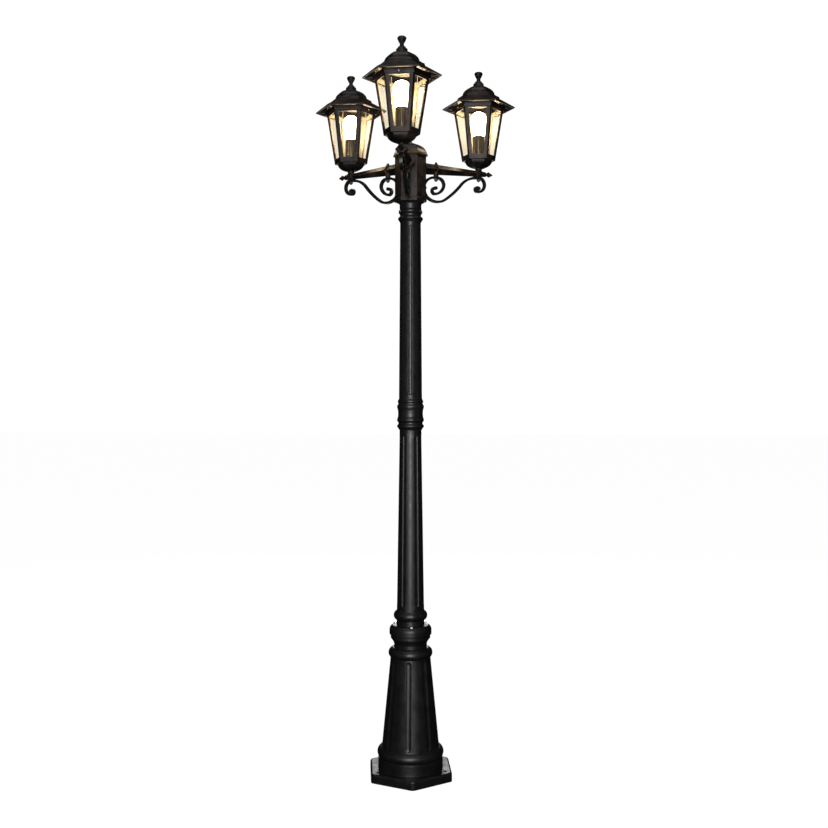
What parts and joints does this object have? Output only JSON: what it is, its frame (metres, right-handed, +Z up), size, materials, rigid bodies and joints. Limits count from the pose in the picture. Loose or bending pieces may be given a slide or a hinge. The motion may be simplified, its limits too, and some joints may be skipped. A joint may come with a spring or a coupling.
{
  "type": "multi head lamp post",
  "caption": "Garden lamp post: fluted post on a hexagonal plinth, hexagonal hub, diamond-section arms with scrolls, and hexagonal glazed lanterns with lift-off roofs.",
  "frame": {"origin": "on the post's axis, in the plinth's underside", "axes": "+Z up the post; the front arm runs along -Y and the others stand 120 degrees either side"},
  "size_m": [0.6404, 0.5547, 2.1976],
  "materials": {
    "black_casting": "satin black powder coat on cast aluminium",
    "black_bar": "satin black paint on flat steel bar",
    "black_fixing": "satin black",
    "zinc_fixing": "bright zinc",
    "galvanised_sleeve": "galvanised",
    "clear_pane": "clear, slightly cream",
    "lit_bulb": "opal, lit",
    "bulb_cap_metal": "plain",
    "lampholder_ceramic": "satin",
    "terminal_plastic": "matt"
  },
  "bodies": {
    "post": {"base_casting": "black_casting", "clamp_ring": "black_casting", "clamp_bolts": "zinc_fixing", "lower_shaft": "black_casting", "coupling_socket": "black_casting", "coupling_cap": "black_casting", "coupling_sleeve": "galvanised_sleeve", "upper_shaft": "black_casting", "top_collar": "black_casting", "grub_screws": "zinc_fixing", "hub": "black_casting", "hub_cap": "black_casting", "cap_rod": "zinc_fixing", "cap_nut": "black_fixing", "terminal_block": "terminal_plastic", "scroll_screws": "black_fixing", "curl_bolts": "black_fixing", "stem_nuts": "black_fixing", "front_arm": "black_casting", "front_scroll": "black_bar", "front_curl": "black_bar", "front_cage": "black_casting", "front_panes": "clear_pane", "front_bowl": "black_casting", "front_stem": "black_fixing", "front_lampholder": "lampholder_ceramic", "right_arm": "black_casting", "right_scroll": "black_bar", "right_curl": "black_bar", "right_cage": "black_casting", "right_panes": "clear_pane", "right_bowl": "black_casting", "right_stem": "black_fixing", "right_lampholder": "lampholder_ceramic", "left_arm": "black_casting", "left_scroll": "black_bar", "left_curl": "black_bar", "left_cage": "black_casting", "left_panes": "clear_pane", "left_bowl": "black_casting", "left_stem": "black_fixing", "left_lampholder": "lampholder_ceramic"},
    "front_roof": {"front_roof": "black_casting", "front_finial": "black_casting", "front_roof_screws": "zinc_fixing"},
    "front_bulb": {"front_bulb_glass": "lit_bulb", "front_bulb_cap": "bulb_cap_metal"},
    "right_roof": {"right_roof": "black_casting", "right_finial": "black_casting", "right_roof_screws": "zinc_fixing"},
    "right_bulb": {"right_bulb_glass": "lit_bulb", "right_bulb_cap": "bulb_cap_metal"},
    "left_roof": {"left_roof": "black_casting", "left_finial": "black_casting", "left_roof_screws": "zinc_fixing"},
    "left_bulb": {"left_bulb_glass": "lit_bulb", "left_bulb_cap": "bulb_cap_metal"}
  },
  "joints": [
    {"name": "front_roof_lift", "type": "slide", "parent": "post", "child": "front_roof", "axis": [0, 0, 1], "range_m": [0, 0.15]},
    {"name": "front_bulb_turn", "type": "hinge", "parent": "post", "child": "front_bulb", "pos_m": [0, -0.237, 1.99404], "axis": [0, 0, 1], "continuous": true},
    {"name": "right_roof_lift", "type": "slide", "parent": "post", "child": "right_roof", "axis": [0, 0, 1], "range_m": [0, 0.15]},
    {"name": "right_bulb_turn", "type": "hinge", "parent": "post", "child": "right_bulb", "pos_m": [0.20525, 0.1185, 1.99404], "axis": [0, 0, 1], "continuous": true},
    {"name": "left_roof_lift", "type": "slide", "parent": "post", "child": "left_roof", "axis": [0, 0, 1], "range_m": [0, 0.15]},
    {"name": "left_bulb_turn", "type": "hinge", "parent": "post", "child": "left_bulb", "pos_m": [-0.20525, 0.1185, 1.99404], "axis": [0, 0, 1], "continuous": true}
  ]
}
